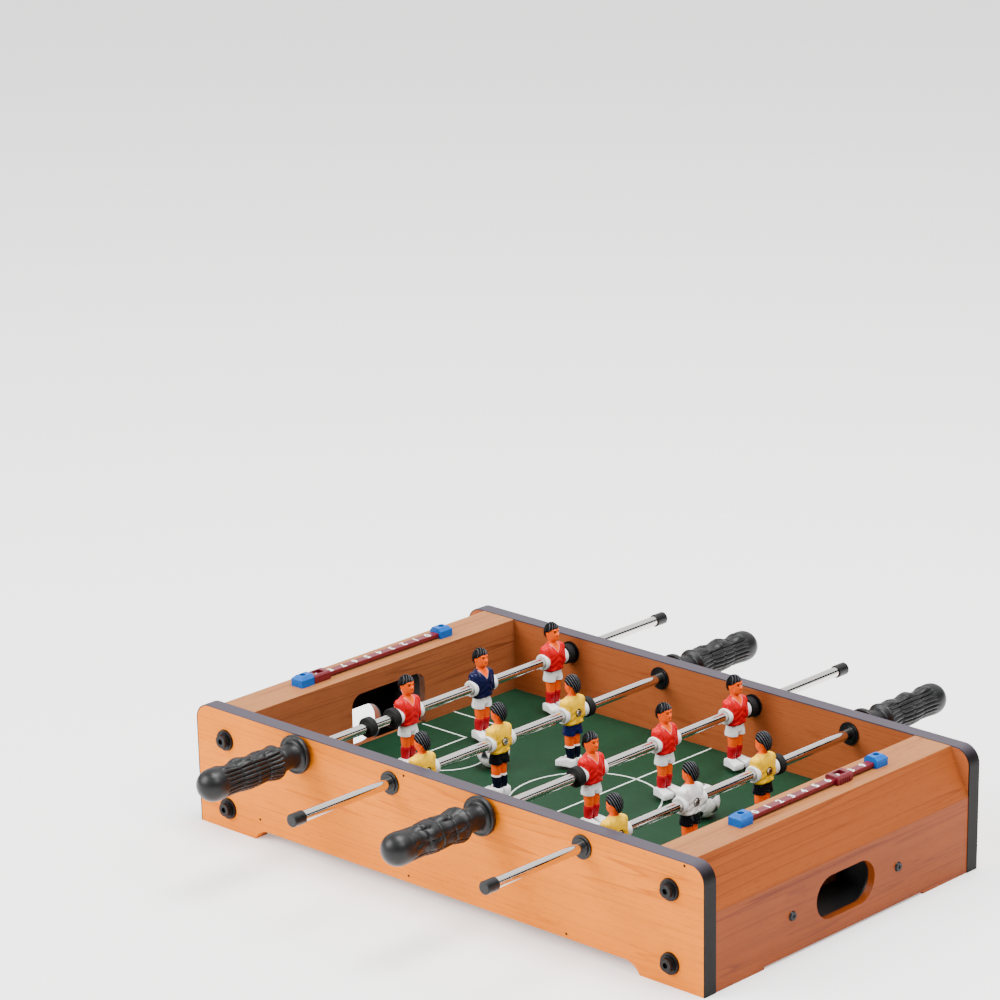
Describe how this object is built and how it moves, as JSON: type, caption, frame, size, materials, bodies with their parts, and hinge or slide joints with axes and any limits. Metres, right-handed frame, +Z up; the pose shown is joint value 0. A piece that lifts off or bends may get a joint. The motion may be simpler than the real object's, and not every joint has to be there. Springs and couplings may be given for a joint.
{
  "type": "tabletop foosball table",
  "caption": "Low tabletop foosball table with rods that slide and turn, moulded players, rubber grips, goals with ball returns, and window score rails at both ends.",
  "frame": {"origin": "middle of the footprint, on the floor under the feet", "axes": "+X along the pitch from the left goal to the right goal, +Y along the rods from the front panel to the back panel, +Z up"},
  "size_m": [0.512, 0.509, 0.114],
  "materials": {
    "light woodgrain board": "printed woodgrain foil, satin",
    "red woodgrain board": "printed woodgrain foil, satin",
    "dark edge band": "satin",
    "green printed board": "printed, satin",
    "raw wood": "sawn",
    "black screw steel": "blackened",
    "black plastic": "moulded",
    "grip rubber": "matte",
    "bumper rubber": "matte",
    "chromed steel tube": "polished",
    "screw steel": "plated",
    "red moulded plastic": "glossy",
    "navy moulded plastic": "glossy",
    "yellow moulded plastic": "glossy",
    "white moulded plastic": "glossy",
    "ball plastic": "glossy",
    "maroon plastic": "satin",
    "blue plastic": "satin"
  },
  "bodies": {
    "table": {"front_panel": "light woodgrain board", "back_panel": "light woodgrain board", "front_edge_band": "dark edge band", "back_edge_band": "dark edge band", "left_goal_wall": "red woodgrain board", "left_end_casing": "red woodgrain board", "left_goal_box": "black plastic", "left_score_rail": "maroon plastic", "right_goal_wall": "red woodgrain board", "right_end_casing": "red woodgrain board", "right_goal_box": "black plastic", "right_score_rail": "maroon plastic", "playfield": "green printed board", "corner_blocks": "raw wood", "panel_bolts": "black screw steel", "bolt_washers": "black plastic", "goal_box_screws": "black screw steel", "rod_bushings": "black plastic", "bushing_retainers": "black plastic", "score_end_blocks": "blue plastic", "score_rail_screws": "black screw steel"},
    "rod_1_carrier": {"rod_1_bumpers": "bumper rubber"},
    "rod_1": {"rod_1_tube": "chromed steel tube", "rod_1_handle": "grip rubber", "rod_1_cap": "black plastic", "rod_1_player_screws": "screw steel", "rod_1_player_1": "red moulded plastic", "rod_1_player_2": "navy moulded plastic", "rod_1_player_3": "red moulded plastic"},
    "rod_2_carrier": {"rod_2_bumpers": "bumper rubber"},
    "rod_2": {"rod_2_tube": "chromed steel tube", "rod_2_handle": "grip rubber", "rod_2_cap": "black plastic", "rod_2_player_screws": "screw steel", "rod_2_player_1": "yellow moulded plastic", "rod_2_player_2": "yellow moulded plastic", "rod_2_player_3": "yellow moulded plastic"},
    "rod_3_carrier": {"rod_3_bumpers": "bumper rubber"},
    "rod_3": {"rod_3_tube": "chromed steel tube", "rod_3_handle": "grip rubber", "rod_3_cap": "black plastic", "rod_3_player_screws": "screw steel", "rod_3_player_1": "red moulded plastic", "rod_3_player_2": "red moulded plastic", "rod_3_player_3": "red moulded plastic"},
    "rod_4_carrier": {"rod_4_bumpers": "bumper rubber"},
    "rod_4": {"rod_4_tube": "chromed steel tube", "rod_4_handle": "grip rubber", "rod_4_cap": "black plastic", "rod_4_player_screws": "screw steel", "rod_4_player_1": "yellow moulded plastic", "rod_4_player_2": "white moulded plastic", "rod_4_player_3": "yellow moulded plastic"},
    "loose_ring": {"rod_1_loose_ring": "bumper rubber"},
    "left_marker": {"left_score_marker": "maroon plastic"},
    "right_marker": {"right_score_marker": "maroon plastic"},
    "ball_1": {"ball_1": "ball plastic"},
    "ball_2": {"ball_2": "ball plastic"}
  },
  "joints": [
    {"name": "rod_1_slide", "type": "slide", "parent": "table", "child": "rod_1_carrier", "axis": [0, -1, 0], "range_m": [0, 0.0737]},
    {"name": "rod_1_spin", "type": "hinge", "parent": "rod_1_carrier", "child": "rod_1", "pos_m": [-0.142, 0, 0.083], "axis": [0, 1, 0], "continuous": true},
    {"name": "rod_2_slide", "type": "slide", "parent": "table", "child": "rod_2_carrier", "axis": [0, 1, 0], "range_m": [0, 0.08]},
    {"name": "rod_2_spin", "type": "hinge", "parent": "rod_2_carrier", "child": "rod_2", "pos_m": [-0.04734, 0, 0.083], "axis": [0, 1, 0], "continuous": true},
    {"name": "rod_3_slide", "type": "slide", "parent": "table", "child": "rod_3_carrier", "axis": [0, -1, 0], "range_m": [0, 0.08]},
    {"name": "rod_3_spin", "type": "hinge", "parent": "rod_3_carrier", "child": "rod_3", "pos_m": [0.04734, 0, 0.083], "axis": [0, 1, 0], "continuous": true},
    {"name": "rod_4_slide", "type": "slide", "parent": "table", "child": "rod_4_carrier", "axis": [0, 1, 0], "range_m": [0, 0.08]},
    {"name": "rod_4_spin", "type": "hinge", "parent": "rod_4_carrier", "child": "rod_4", "pos_m": [0.142, 0, 0.083], "axis": [0, 1, 0], "continuous": true},
    {"name": "loose_ring_slide", "type": "slide", "parent": "table", "child": "loose_ring", "axis": [0, -1, 0], "range_m": [0, 0.0542]},
    {"name": "left_marker_slide", "type": "slide", "parent": "table", "child": "left_marker", "axis": [0, 1, 0], "range_m": [0, 0.1206]},
    {"name": "right_marker_slide", "type": "slide", "parent": "table", "child": "right_marker", "axis": [0, 1, 0], "range_m": [-0.0938, 0.0268]},
    {"name": "ball_1_roll", "type": "slide", "parent": "table", "child": "ball_1", "axis": [0, 1, 0], "range_m": [-0.133, 0.127]},
    {"name": "ball_2_roll", "type": "slide", "parent": "table", "child": "ball_2", "axis": [0, 1, 0], "range_m": [-0.1595, 0.1005]}
  ],
  "couplings": [
    {"joint": "loose_ring_slide", "follows": "rod_1_slide", "ratio": 0.7354}
  ]
}
